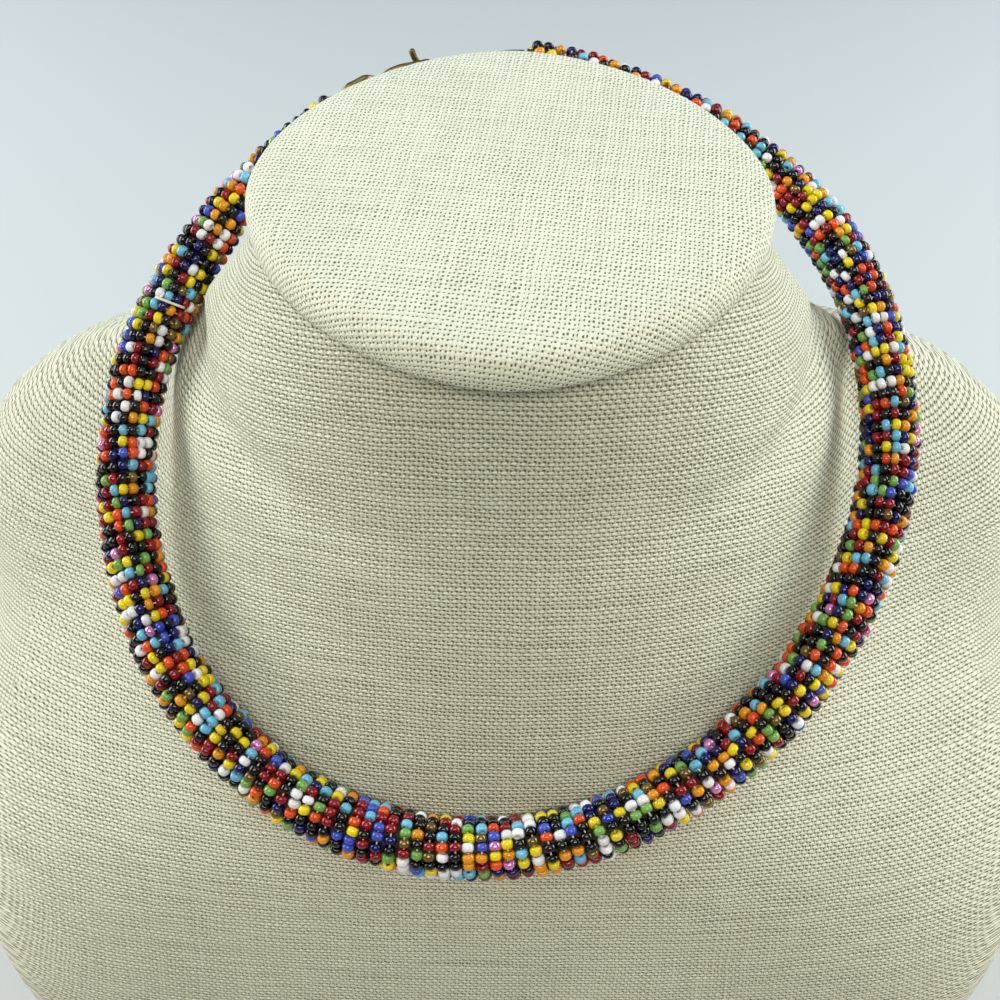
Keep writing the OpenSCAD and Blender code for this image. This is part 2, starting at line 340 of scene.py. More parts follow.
def woven_linen(name, linen, across, along, turn, weft_rise, shade_to, hole, slit):
    """Plain-woven linen cloth: dull, slightly fuzzy, uneven thread in level and upright rows.

    The eye sees short bright floats of weft in a brick pattern, with painted shade on the lower
    warp between them and in the small dark holes. The threads are 0.7 to 0.85 mm apart, which
    shows at the photograph's size, so none is coarser. The steps of warp and weft are across and
    along, turned by turn. The weft lies higher by weft_rise and the warp as much lower, painted
    shade darkens thread below the height shade_to, and hole and slit are the depths of the two
    kinds of gap, all as shares of a thread.
    """
    made, tree, place = material(name, "weave")
    # threads wander sideways by a tenth of a millimetre or two over a few centimetres
    stray = node(tree, "ShaderNodeTexNoise", {"Vector": place, "Scale": 90, "Detail": 2})
    centred = node(tree, "ShaderNodeVectorMath",
                   {0: stray.outputs["Color"], 1: (0.5, 0.5, 0.5)}, operation="SUBTRACT")
    moved = node(tree, "ShaderNodeVectorMath",
                 {0: centred.outputs[0], 1: (LINEN_STRAY, LINEN_STRAY, 0), 2: place},
                 operation="MULTIPLY_ADD")
    grid = node(tree, "ShaderNodeMapping",
                {"Vector": moved.outputs[0], "Rotation": (0, 0, -turn),
                 "Scale": (across / math.pi, along / math.pi, 1)},
                vector_type="TEXTURE").outputs[0]
    # one thread's place, thickness and tone change slowly along it and at once to the next
    split = node(tree, "ShaderNodeSeparateXYZ", {0: grid}).outputs
    slubs, places = [], []
    for axis, stretch in enumerate(((0.3, 0.012, 1), (0.012, 0.3, 1))):
        long = node(tree, "ShaderNodeMapping", {"Vector": grid, "Scale": stretch})
        slub = node(tree, "ShaderNodeTexNoise",
                    {"Vector": long.outputs[0], "Scale": 1, "Detail": 3, "Roughness": 0.6})
        slubs.append(slub.outputs["Fac"])
        places.append(node(tree, "ShaderNodeMath",
                           {0: slubs[axis], 1: LINEN_SHIFT, 2: split[axis]},
                           operation="MULTIPLY_ADD").outputs[0])
    # threads bend round each other, so neighbouring gaps sit a little off a straight grid
    sines = [node(tree, "ShaderNodeMath", {0: at}, operation="SINE").outputs[0] for at in places]
    bend = node(tree, "ShaderNodeMath", {0: sines[0], 1: sines[1]}, operation="MULTIPLY")
    places = [node(tree, "ShaderNodeMath", {0: bend.outputs[0], 1: sign * LINEN_BEND, 2: at},
                   operation="MULTIPLY_ADD").outputs[0] for sign, at in zip((-1, 1), places)]
    sines, waves = ([node(tree, "ShaderNodeMath", {0: at}, operation=kind).outputs[0]
                     for at in places] for kind in ("SINE", "COSINE"))
    cross = node(tree, "ShaderNodeMath", {0: waves[0], 1: waves[1]}, operation="MULTIPLY")
    floats = []
    for sign, wave in zip((1, -1), waves):
        over = node(tree, "ShaderNodeMath",
                    {0: cross.outputs[0], 1: sign * LINEN_SWING, 2: 0.5 - sign * weft_rise},
                    operation="MULTIPLY_ADD")
        body = node(tree, "ShaderNodeMath", {0: wave}, operation="ABSOLUTE")
        floats.append(node(tree, "ShaderNodeMath", {0: body.outputs[0], 1: over.outputs[0]},
                           operation="MULTIPLY").outputs[0])
    height = node(tree, "ShaderNodeMath", {0: floats[0], 1: floats[1]}, operation="MAXIMUM")
    # the warp between the floats lies lower and is painted darker than they are, as painted shade
    weft_up = node(tree, "ShaderNodeMapRange",
                   {"Value": cross.outputs[0], "From Min": 0.4, "From Max": -0.4})
    slub = node(tree, "ShaderNodeMix", {0: weft_up.outputs[0], 2: slubs[0], 3: slubs[1]},
                data_type="FLOAT")
    uneven = node(tree, "ShaderNodeMapRange",
                  {"Value": slub.outputs[0], "From Min": 0.36, "From Max": 0.7, "To Max": 0.5})
    under_shade = LINEN_UNDER_SHADE * weft_rise
    dull = node(tree, "ShaderNodeMath",
                {0: weft_up.outputs[0], 1: -under_shade, 2: under_shade}, operation="MULTIPLY_ADD")
    tone = node(tree, "ShaderNodeMath", {0: uneven.outputs[0], 1: dull.outputs[0]},
                operation="ADD")
    thread = node(tree, "ShaderNodeMix",
                  {0: tone.outputs[0], 6: opaque(linen.cloth), 7: opaque(linen.slub)},
                  data_type="RGBA")
    # gaps between four threads open into holes, some wider than others, and a slanting slit
    # shows where the twisted warp dives under
    corner = node(tree, "ShaderNodeMath", {0: sines[0], 1: sines[1]}, operation="MULTIPLY")
    square = node(tree, "ShaderNodeMath", {0: corner.outputs[0]}, operation="ABSOLUTE")
    slant = node(tree, "ShaderNodeMath", {0: cross.outputs[0], 1: corner.outputs[0]},
                 operation="ADD")
    size = node(tree, "ShaderNodeTexNoise", {"Vector": grid, "Scale": 0.4})
    for value, low, deep in ((square, 0.55, hole), (slant, 0.2, slit)):
        opened = node(tree, "ShaderNodeMapRange",
                      {"Value": value.outputs[0], "From Min": low, "From Max": 1,
                       "To Max": -2 * deep}, interpolation_type="SMOOTHSTEP")
        height = node(tree, "ShaderNodeMath",
                      {0: opened.outputs[0], 1: size.outputs["Fac"], 2: height.outputs[0]},
                      operation="MULTIPLY_ADD")
    # painted shade: where the cloth lies low, between threads and in the holes and slits, its
    # colour goes over to the gap colour
    depth = node(tree, "ShaderNodeMapRange",
                 {"Value": height.outputs[0], "From Min": 0, "From Max": shade_to},
                 interpolation_type="SMOOTHSTEP")
    shaded = node(tree, "ShaderNodeMix",
                  {0: depth.outputs[0], 6: opaque(linen.gap), 7: thread.outputs[2]},
                  data_type="RGBA")
    # the cloth is a little greyer in broad patches from handling
    worn = node(tree, "ShaderNodeTexNoise", {"Vector": place, "Scale": 28, "Detail": 4})
    patch = node(tree, "ShaderNodeMapRange",
                 {"Value": worn.outputs["Fac"], "From Min": 0.3, "From Max": 0.7,
                  "To Min": 0.95, "To Max": 1.03})
    cloth = node(tree, "ShaderNodeHueSaturation",
                 {"Value": patch.outputs[0], "Color": shaded.outputs[2]})
    fuzz = node(tree, "ShaderNodeTexNoise", {"Vector": place, "Scale": 3800, "Detail": 2})
    relief = node(tree, "ShaderNodeMath",
                  {0: fuzz.outputs["Fac"], 1: 0.16, 2: height.outputs[0]},
                  operation="MULTIPLY_ADD")
    finish_material(tree, relief.outputs[0], 1, 0.0002,
                    {"Base Color": cloth.outputs[0], "Roughness": 0.88, "IOR": 1.45,
                     "Specular IOR Level": 0.25, "Sheen Weight": 0.12, "Sheen Roughness": 0.5})
    return made


# Share of each colour among the beads. The silver-lined ones come last, from this share on,
# and look this metallic
BEAD_MIX = [("black", 0.262), ("navy", 0.085), ("red", 0.118), ("orange", 0.074),
            ("amber", 0.07), ("yellow", 0.076), ("green", 0.056), ("sky", 0.06),
            ("white", 0.098), ("blue", 0.043), ("pink", 0.018), ("bronze", 0.04)]
SILVER_FROM, SILVER_GLINT = 0.942, 0.55


def seed_bead_glass(settings):
    """Pressed and tumbled opaque glass: smooth and glossy, with a tight highlight on each bead.

    A few beads are clear glass with a silvered hole, which glints and looks paler.
    """
    made, tree, place = material("seed_bead_glass")
    pick, batch = (node(tree, "ShaderNodeAttribute", attribute_name=name).outputs["Fac"]
                   for name in ("colour_pick", "batch"))
    ramp = node(tree, "ShaderNodeValToRGB", {0: pick})
    ramp.color_ramp.interpolation = "CONSTANT"
    stops = ramp.color_ramp.elements
    start = 0.0
    for i, (name, share) in enumerate(BEAD_MIX):
        stop = stops[i] if i < 2 else stops.new(start)
        stop.position = start
        stop.color = opaque(getattr(settings, name))
        start += share
    value = node(tree, "ShaderNodeMapRange", {"Value": batch, "To Min": 0.84, "To Max": 1.08})
    tint = node(tree, "ShaderNodeHueSaturation",
                {"Value": value.outputs[0], "Color": ramp.outputs[0]})
    silver = node(tree, "ShaderNodeMath", {0: pick, 1: SILVER_FROM}, operation="GREATER_THAN")
    metal = node(tree, "ShaderNodeMath", {0: silver.outputs[0], 1: SILVER_GLINT},
                 operation="MULTIPLY")
    # glass skin is slightly wavy over half a millimetre, with a little dust and skin oil on it
    wavy = node(tree, "ShaderNodeTexNoise", {"Vector": place, "Scale": 1500, "Detail": 1})
    dull = node(tree, "ShaderNodeTexNoise", {"Vector": place, "Scale": 260, "Detail": 3})
    rough = node(tree, "ShaderNodeMapRange",
                 {"Value": dull.outputs["Fac"], "From Min": 0.35, "From Max": 0.7,
                  "To Min": 0.03, "To Max": 0.08})
    finish_material(tree, wavy.outputs["Fac"], 0.08, 0.0001,
                    {"Base Color": tint.outputs[0], "Roughness": rough.outputs[0], "IOR": 1.52,
                     "Metallic": metal.outputs[0]})
    return made


def cotton_cord(name, base, light, fibre):
    """Twisted cotton: soft and matt, with fine slanting strands and fuzz."""
    made, tree, place = material(name)
    strand = node(tree, "ShaderNodeTexWave",
                  {"Vector": place, "Scale": fibre, "Distortion": 3, "Detail": 2},
                  bands_direction="DIAGONAL")
    fuzz = node(tree, "ShaderNodeTexNoise", {"Vector": place, "Scale": 900, "Detail": 3})
    both = node(tree, "ShaderNodeMath", {0: strand.outputs["Fac"], 1: fuzz.outputs["Fac"]},
                operation="MULTIPLY").outputs[0]
    tone = node(tree, "ShaderNodeMix",
                {0: both, 6: opaque(linear(base)), 7: opaque(linear(light))}, data_type="RGBA")
    finish_material(tree, both, 0.6, 0.0002,
                    {"Base Color": tone.outputs[2], "Roughness": 0.85, "Sheen Weight": 0.2})
    return made


def aged_brass(settings):
    """Drawn brass wire, bent by hand and left to tarnish: olive brown, bright only where rubbed."""
    made, tree, place = material("aged_brass_wire")
    # the film is blotchy over one to three millimetres
    blotch = node(tree, "ShaderNodeTexNoise",
                  {"Vector": place, "Scale": 520, "Detail": 4, "Roughness": 0.6})
    film = node(tree, "ShaderNodeMapRange",
                {"Value": blotch.outputs["Fac"], "From Min": 0.38, "From Max": 0.62}).outputs[0]
    tone = node(tree, "ShaderNodeMix",
                {0: film, 6: opaque(settings.brass), 7: opaque(settings.tarnish)},
                data_type="RGBA")
    rough = node(tree, "ShaderNodeMapRange", {"Value": film, "To Min": 0.3, "To Max": 0.6})
    scuffs = node(tree, "ShaderNodeTexNoise", {"Vector": place, "Scale": 2600, "Detail": 2})
    finish_material(tree, scuffs.outputs["Fac"], 0.3, 0.0001,
                    {"Base Color": tone.outputs[2], "Roughness": rough.outputs[0],
                     "Metallic": 1})
    return made


def matt_tabletop(settings):
    """Matt laminate board: plain, pale and even, with a soft sheen."""
    made, tree, place = material("matt_tabletop")
    grain = node(tree, "ShaderNodeTexNoise", {"Vector": place, "Scale": 700, "Detail": 2})
    finish_material(tree, grain.outputs["Fac"], 0.05, 0.0001,
                    {"Base Color": opaque(settings.floor), "Roughness": 0.75})
    return made


def dress(piece, finish, slot, *nodes):
    """Gives a piece its one material and its body, and hides the CAD nodes it stands for; the slot
    is not used.
    """
    piece.data.materials.clear()
    piece.data.materials.append(finish)
    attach(piece, "root")
    if nodes:
        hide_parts(*nodes)


SECTION_STEPS, BUST_SIDES = 9, 216
# How sharply the trunk's and the shoulders' outlines meet
JOIN_POWER = 12
# The cover's front reaches this many columns of faces round to each side: on the neck, on top
# of the shoulders, at their ends, at the top of the flanks and at their foot. These are the
# depths where the shoulders' top and their ends stop, and the flanks' top and foot
FRONT_COLUMNS, RIDGE_COLUMNS, END_COLUMNS, FLANK_COLUMNS, FOOT_COLUMNS = 84, 60, 54, 47, 34
RIDGE_FOOT, END_FOOT, FLANK_TOP, FLANK_FOOT = 64, 80, 88, 128
# The neck's sides start this many columns from the front and end at this depth
NECK_COLUMNS, NECK_BASE = 40, 47
# The weave's middle lies this far behind the neck's axis, and its folds round off like this
WEAVE_BACK, WEAVE_ROUND = 19, 0.46


def section_row(i, u):
    """Row of the section table a share u of the way from row i to the next."""
    last = len(SECTIONS) - 1

    def slope(k):
        low, high = SECTIONS[max(k - 1, 0)], SECTIONS[min(k + 1, last)]
        return [(h - l) / (high[0] - low[0]) for l, h in zip(low, high)]

    here, next_row = SECTIONS[i], SECTIONS[i + 1]
    drop = next_row[0] - here[0]
    return [between(a, b, p * drop, q * drop, u)
            for a, b, p, q in zip(here, next_row, slope(i), slope(i + 1))]


def section_ring(row):
    """Points round one level section, from the middle of the back round by the left."""
    depth_down, middle, half, front, back, square, wide, deep = row
    ring = []
    for k in range(BUST_SIDES):
        a = 2 * math.pi * k / BUST_SIDES + math.pi
        s, c = math.sin(a), math.cos(a)
        depth = middle - front if c > 0 else back - middle
        trunk = ((abs(s) / half) ** square + (abs(c) / depth) ** square) ** (-1 / square)
        shoulder = 1 / math.hypot(s / wide, c / deep)
        r = (trunk ** JOIN_POWER + shoulder ** JOIN_POWER) ** (1 / JOIN_POWER)
        ring.append(Vector((r * s, NECK_Y + middle - r * c, TOP / MM - depth_down)) * MM)
    return ring


def weave_place(p):
    """Place on the bust's front in its cover's weave, across and along the upright threads.

    The level threads dip in the middle of the front, and the upright ones fan out over the
    shoulders. The polynomials were fitted to the run of the threads, in units of 100 mm.
    """
    x, y, z = p.x / MM / 100, (p.y / MM - NECK_Y - WEAVE_BACK) / 100, (p.z - TOP) / MM / 100
    h = math.hypot(y, WEAVE_ROUND)
    across = x * (84 + 63 * h * h + 27 * y - 28 * y * z + x * x * (30 + 37 * z - 20 * y))
    return across * MM, (86 * h - 82 * z + 6 * x * x) * MM


class COLLAR_OT_bust_cover(bpy.types.Operator):
    """Linen cover over the bust's neck, shoulders and chest, in one piece whose weave runs one way
    over the front and another round the back
    """
    bl_idname = "collar.bust_cover"
    bl_label = "Bust cover"

    def execute(self, context):
        linen = context.scene.collar_linen
        rings = [section_ring(section_row(i, s / SECTION_STEPS))
                 for i in range(len(SECTIONS) - 1) for s in range(SECTION_STEPS)]
        rings.append(section_ring(SECTIONS[-1]))
        # distance round each section from the middle of the back
        rounds = []
        for ring in rings:
            total = [0.0]
            for k in range(BUST_SIDES):
                total.append(total[-1] + (ring[(k + 1) % BUST_SIDES] - ring[k]).length)
            rounds.append(total)

        def uv(i, k, column, row):
            across, along = weave_place(rings[i][k % BUST_SIDES])
            depth = (TOP - rings[row][0].z) / MM
            out = column + 0.5 - BUST_SIDES / 2
            reach = FRONT_COLUMNS
            if depth > FLANK_TOP:
                share = smooth((depth - FLANK_TOP) / (FLANK_FOOT - FLANK_TOP))
                reach = FLANK_COLUMNS + (FOOT_COLUMNS - FLANK_COLUMNS) * share
            elif depth > NECK_BASE:
                share = smooth((depth - RIDGE_FOOT) / (END_FOOT - RIDGE_FOOT))
                reach = RIDGE_COLUMNS + (END_COLUMNS - RIDGE_COLUMNS) * share
            if abs(out) > reach:
                across = rounds[i][k] - (rounds[i][-1] if out > 0 else 0)
            elif abs(out) > NECK_COLUMNS and depth < NECK_BASE:
                edge = BUST_SIDES // 2 + (NECK_COLUMNS if out > 0 else -NECK_COLUMNS)
                across = weave_place(rings[i][edge])[0] + rounds[i][k] - rounds[i][edge]
            return across, along

        cover = skinned("linen_bust_cover", rings, uv)
        # the rings follow each other downwards, so the faces come out turned in
        cover.data.flip_normals()
        # the bust's cloth, with its warp lower and its shade reaching higher than on the cap, gets
        # more painted shade
        cloth = woven_linen("woven_linen_on_the_bust", linen, linen.body_across,
                            linen.body_along, turn=0, weft_rise=0.2, shade_to=0.5, hole=0.22,
                            slit=0.12)
        dress(cover, cloth, "bust_linen", "bust_form")
        return {"FINISHED"}


CAP_SIDES, CAP_STEPS = 192, 4
# Insets of the last rings on the cap's flat top, where its front starts to dip, and how far
# its weave is turned
CAP_FLAT, CAP_DIP_AT, CAP_TURN = (27, 34, 39), 15, math.radians(7.5)


def cap_ring(inset, height):
    ring = []
    for k in range(CAP_SIDES):
        a = 2 * math.pi * k / CAP_SIDES
        s, c = math.sin(a), math.cos(a)
        r = ((abs(s) / (CAP_W / 2 - inset)) ** CAP_SQUARE
             + (abs(c) / (CAP_L / 2 - inset)) ** CAP_SQUARE) ** (-1 / CAP_SQUARE)
        front = max(r * c - CAP_DIP_AT, 0) / (CAP_L / 2 - CAP_DIP_AT)
        ring.append(Vector((r * s, CAP_Y - r * c,
                            TOP / MM - CAP_H + height * (CAP_H - CAP_DIP * front ** 2))) * MM)
    return ring


class COLLAR_OT_cap_cover(bpy.types.Operator):
    """Linen pad that closes the top of the neck, its edge drawn in to a tight seam"""
    bl_idname = "collar.cap_cover"
    bl_label = "Cap cover"

    def execute(self, context):
        linen = context.scene.collar_linen
        rows = []
        last = len(CAP_EDGE) - 1
        for i in range(last):
            here, after = Vector(CAP_EDGE[i]), Vector(CAP_EDGE[i + 1])
            start = Vector(CAP_EDGE[max(i - 1, 0)])
            end = Vector(CAP_EDGE[min(i + 2, last)])
            rows += [between(here, after, (after - start) / 2, (end - here) / 2, s / CAP_STEPS)
                     for s in range(CAP_STEPS)]
        rows += [(inset, 1) for inset in CAP_FLAT]
        rings = [cap_ring(*row) for row in rows]
        # distance over the cloth from the middle of the top out to each ring
        middle = sum(rings[-1], Vector()) / CAP_SIDES
        out = [[0.0] * CAP_SIDES for _ in rings]
        for k in range(CAP_SIDES):
            total, before = 0.0, middle
            for i in reversed(range(len(rings))):
                total += (rings[i][k] - before).length
                before = rings[i][k]
                out[i][k] = total

        def uv(i, k, _column, _row):
            a = 2 * math.pi * k / CAP_SIDES
            r = out[i][k % CAP_SIDES]
            return r * math.sin(a), -r * math.cos(a)

        cover = skinned("linen_cap_cover", rings, uv)
        cloth = woven_linen("woven_linen_on_the_cap", linen, linen.cap_across,
                            linen.cap_along, CAP_TURN, weft_rise=0.03, shade_to=0.3, hole=0.32,
                            slit=0)
        dress(cover, cloth, "cap_linen", "neck_cap")
        return {"FINISHED"}


# Half outline of a bead's barrel: share of its half width, share of its half length
BEAD_OUTLINE = [(0.36, 0.97), (0.73, 0.86), (0.965, 0.42), (0.965, -0.42), (0.73, -0.86),
                (0.36, -0.97)]
BEAD_SIDES = 12
# Points of the rope's middle line, degrees that the winding stays inside the rope's ends, and
# the share of its length that is left free between two stretches
PATH_POINTS, THREAD_IN, STRETCH_GAP = 400, 0.6, 0.0002
WINDING_SETTINGS = ("Row step", "Bead step", "Wander", "Jitter", "Unevenness", "Tilt",
                    "Thread width")


def bead_shape(settings):
    """One bead, turned about its thread hole: a barrel with rounded shoulders."""
    wide, half = settings.bead_width / 2, settings.bead_length / 2
    points, faces = [], []
    for i, (r, z) in enumerate(BEAD_OUTLINE):
        a, b = i * BEAD_SIDES, (i + 1) % len(BEAD_OUTLINE) * BEAD_SIDES
        for k in range(BEAD_SIDES):
            t = 2 * math.pi * k / BEAD_SIDES
            points.append((wide * r * math.cos(t), wide * r * math.sin(t), half * z))
            after = (k + 1) % BEAD_SIDES
            faces.append((a + k, b + k, b + after, a + after))
    mesh = bpy.data.meshes.new("bead")
    mesh.from_pydata(points, [], faces)
    mesh.shade_smooth()
    return bpy.data.objects.new("bead", mesh)


def thread_path(name, start, stop):
    """Middle line of the rope as a curve; the points' radius is that of the winding."""
    curve = bpy.data.curves.new(name, "CURVE")
    curve.dimensions = "3D"
    spline = curve.splines.new("POLY")
    spline.points.add(PATH_POINTS - 1)
    bead = bpy.context.scene.collar_beads.bead_width
    for i, point in enumerate(spline.points):
        a = start + (stop - start) * i / (PATH_POINTS - 1)
        point.co = (*route_at(a), 1)
        point.radius = rope_radius(a) - bead / 2
    made = bpy.data.objects.new(name, curve)
    bpy.context.scene.collection.objects.link(made)
    return made


WINDING_INPUTS = (("Geometry", ("Geometry",)), ("Object", ("Bead",)), ("Material", ("Finish",)),
                  ("Float", ("Row step", "Bead step", "Wander", "Jitter", "Unevenness", "Tilt",
                             "Thread width", "Start", "End")),
                  ("Int", ("Seed",)), ("Bool", ("Beads",)))
WOUND_POINTS, THREAD_SIDES = 5200, 5
# What is drawn at random for each bead, lowest and highest: its turn, as shares of the tilt, its
# width and length, as shares of the unevenness, its colour and its tone
BEAD_DRAWS = (("turn", (-1, -1, -3), (1, 1, 3)), ("width", -1, 1), ("length", -1.6, 1.6),
              ("colour_pick", 0, 1), ("batch", 0, 1))


def winding_tree():
    """Winds a thread round a curve, then sets beads or a thread tube along it."""
    tree = bpy.data.node_groups.new("Bead winding", "GeometryNodeTree")
    for kind, names in WINDING_INPUTS:
        for name in names:
            tree.interface.new_socket(name, in_out="INPUT", socket_type="NodeSocket" + kind)
    tree.interface.new_socket("Geometry", in_out="OUTPUT", socket_type="NodeSocketGeometry")
    given = node(tree, "NodeGroupInput").outputs
    # wind: every point of the middle line moves out to its place on the turning thread
    fine = node(tree, "GeometryNodeResampleCurve",
                {"Curve": given["Geometry"], "Count": WOUND_POINTS})
    level = node(tree, "GeometryNodeSetCurveNormal", {"Curve": fine.outputs[0]}, mode="Z_UP")
    gone = node(tree, "GeometryNodeSplineParameter").outputs["Length"]
    turns = node(tree, "ShaderNodeMath", {0: gone, 1: given["Row step"]}, operation="DIVIDE")
    angle = node(tree, "ShaderNodeMath", {0: turns.outputs[0], 1: 2 * math.pi},
                 operation="MULTIPLY")
    normal, tangent, radius, spot = (node(tree, "GeometryNodeInput" + name).outputs[0]
                                     for name in ("Normal", "Tangent", "Radius", "Position"))
    arm = node(tree, "ShaderNodeVectorRotate",
               {"Vector": normal, "Axis": tangent, "Angle": angle.outputs[0]})
    reach = node(tree, "ShaderNodeVectorMath", {0: arm.outputs[0], "Scale": radius},
                 operation="SCALE")
    wound = node(tree, "GeometryNodeSetPosition",
                 {"Geometry": level.outputs[0], "Offset": reach.outputs[0]})
    part = node(tree, "GeometryNodeTrimCurve",
                {"Curve": wound.outputs[0], "Start": given["Start"], "End": given["End"]},
                mode="FACTOR")
    strung = node(tree, "GeometryNodeResampleCurve",
                  {"Curve": part.outputs[0], "Length": given["Bead step"]}, mode="LENGTH")
    # neighbouring turns stray together, so the rows bend without cutting into each other
    drift = node(tree, "ShaderNodeTexNoise",
                 {"Vector": spot, "Scale": 150, "Detail": 2, "Roughness": 0.6})
    centred = node(tree, "ShaderNodeVectorMath",
                   {0: drift.outputs["Color"], 1: (0.5, 0.5, 0.5)}, operation="SUBTRACT")
    far = node(tree, "ShaderNodeMath", {0: given["Wander"], 1: 2}, operation="MULTIPLY")
    stray = node(tree, "ShaderNodeVectorMath",
                 {0: centred.outputs[0], "Scale": far.outputs[0]}, operation="SCALE")
    # beads
    off = node(tree, "FunctionNodeRandomValue",
               {0: (-1, -1, -1), 1: (1, 1, 1), "Seed": given["Seed"]}, data_type="FLOAT_VECTOR")
    random = {}
    for step, (name, low, high) in enumerate(BEAD_DRAWS, 1):
        first, result, kind = (0, 0, "FLOAT_VECTOR") if name == "turn" else (2, 1, "FLOAT")
        seed = node(tree, "ShaderNodeMath", {0: given["Seed"], 1: 10, 2: step},
                    operation="MULTIPLY_ADD")
        random[name] = node(tree, "FunctionNodeRandomValue",
                            {first: low, first + 1: high, "Seed": seed.outputs[0]},
                            data_type=kind).outputs[result]
    uneven = node(tree, "ShaderNodeVectorMath",
                  {0: off.outputs[0], 1: given["Jitter"], 2: stray.outputs[0]},
                  operation="MULTIPLY_ADD")
    places = node(tree, "GeometryNodeSetPosition",
                  {"Geometry": strung.outputs[0], "Offset": uneven.outputs[0]})
    along = node(tree, "FunctionNodeAlignRotationToVector", {"Vector": tangent}, axis="Z")
    lean = node(tree, "ShaderNodeVectorMath", {0: random["turn"], "Scale": given["Tilt"]},
                operation="SCALE")
    turned = node(tree, "FunctionNodeRotateRotation",
                  {"Rotation": along.outputs[0], "Rotate By": lean.outputs[0]},
                  rotation_space="LOCAL")
    width, length = (node(tree, "ShaderNodeMath",
                          {0: random[name], 1: given["Unevenness"], 2: 1},
                          operation="MULTIPLY_ADD").outputs[0] for name in ("width", "length"))
    scale = node(tree, "ShaderNodeCombineXYZ", {0: width, 1: width, 2: length})
    shape = node(tree, "GeometryNodeObjectInfo", {"Object": given["Bead"]},
                 transform_space="ORIGINAL")
    beads = node(tree, "GeometryNodeInstanceOnPoints",
                 {"Points": places.outputs[0], "Instance": shape.outputs["Geometry"],
                  "Rotation": turned.outputs[0], "Scale": scale.outputs[0]})
    for name in ("colour_pick", "batch"):
        beads = node(tree, "GeometryNodeStoreNamedAttribute",
                     {"Geometry": beads.outputs[0], "Name": name, "Value": random[name]},
                     data_type="FLOAT", domain="INSTANCE")
    # thread
    strayed = node(tree, "GeometryNodeSetPosition",
                   {"Geometry": strung.outputs[0], "Offset": stray.outputs[0]})
    thin = node(tree, "GeometryNodeSetCurveRadius", {"Curve": strayed.outputs[0], "Radius": 1})
    half = node(tree, "ShaderNodeMath", {0: given["Thread width"], 1: 0.5}, operation="MULTIPLY")
    rim = node(tree, "GeometryNodeCurvePrimitiveCircle",
               {"Resolution": THREAD_SIDES, "Radius": half.outputs[0]})
    strand = node(tree, "GeometryNodeCurveToMesh",
                  {"Curve": thin.outputs[0], "Profile Curve": rim.outputs[0], "Fill Caps": True})
    chosen = node(tree, "GeometryNodeSwitch",
                  {"Switch": given["Beads"], "False": strand.outputs[0],
                   "True": beads.outputs[0]}, input_type="GEOMETRY")
    real = node(tree, "GeometryNodeRealizeInstances", {0: chosen.outputs[0]})
    done = node(tree, "GeometryNodeSetMaterial",
                {"Geometry": real.outputs[0], "Material": given["Finish"]})
    node(tree, "NodeGroupOutput", {0: done.outputs[0]})
    return tree


def wound_piece(name, values):
    """Runs the winding on the rope's middle line and returns its result as a plain mesh."""
    tree = bpy.data.node_groups.get("Bead winding") or winding_tree()
    path = thread_path(name + "_path", LEFT_END + THREAD_IN, RIGHT_END - THREAD_IN)
    wind = path.modifiers.new("wind", "NODES")
    wind.node_group = tree
    sockets = {s.name: s.identifier for s in tree.interface.items_tree if s.in_out == "INPUT"}
    settings = bpy.context.scene.collar_beads
    for key in WINDING_SETTINGS:
        wind[sockets[key]] = getattr(settings, key.lower().replace(" ", "_"))
    for key, value in values.items():
        wind[sockets[key]] = value
    bpy.context.view_layer.update()
    seen = path.evaluated_get(bpy.context.evaluated_depsgraph_get())
    mesh = bpy.data.meshes.new_from_object(seen)
    mesh.name = name
    path.modifiers.remove(wind)
    bpy.data.objects.remove(path)
    made = bpy.data.objects.new(name, mesh)
    bpy.context.scene.collection.objects.link(made)
    return made


class COLLAR_OT_seed_beads(bpy.types.Operator):
    """Seed beads on a thread wound round and round the cord, in three stretches"""
    bl_idname = "collar.seed_beads"
    bl_label = "Seed beads"

    def execute(self, context):
        settings = context.scene.collar_beads
        glass = seed_bead_glass(settings)
        bead = bead_shape(settings)
        for i, name in enumerate(("left", "front", "right")):
            piece = wound_piece("seed_beads_" + name,
                                {"Bead": bead, "Start": i / 3, "End": (i + 1) / 3 - STRETCH_GAP,
                                 "Seed": settings.seed + i, "Beads": True, "Finish": glass})
            dress(piece, glass, "bead_glass", "bead_winding")
        bpy.data.objects.remove(bead)
        return {"FINISHED"}


def on_rope(a, round_by, out):
    """Point on the rope, a degrees from the front, turned about it, out from its surface."""
    here = route_at(a)
    along = (route_at(a + 0.5) - route_at(a - 0.5)).normalized()
    side = along.cross(UP).normalized()
    up = side.cross(along)
    t = math.radians(round_by)
    return here + (rope_radius(a) + out * MM) * (math.cos(t) * up + math.sin(t) * side)


# Loose loop of thread on the left and the short end beside it: degrees from the front, degrees
# round the rope from its top, distance out from its surface
LOOSE_THREAD = [(-100.2, -5, -1.1), (-100.2, -13, 0.05), (-100.3, -30, 0.35), (-100.5, -50, 0.3),
                (-100.7, -66, 0.05), (-100.8, -74, -1.1)]
LOOSE_END = [(-100.3, -17, -0.6), (-100.6, -21, 0.2), (-101.2, -24, 0.6)]
# Its radius as a share of the thread's width, steps between two knots, and sides
LOOSE_THICKNESS, LOOSE_STEPS, LOOSE_SIDES = 0.75, 6, 8


def smooth_path(points, steps):
    """Points along a smooth line through the given ones."""
    path = []
    last = len(points) - 1
    for i in range(last):
        here, after = points[i], points[i + 1]
        before, beyond = points[max(i - 1, 0)], points[min(i + 2, last)]
        path += [between(here, after, (after - before) / 2, (beyond - here) / 2, k / steps)
                 for k in range(steps)]
    return path + [points[last]]


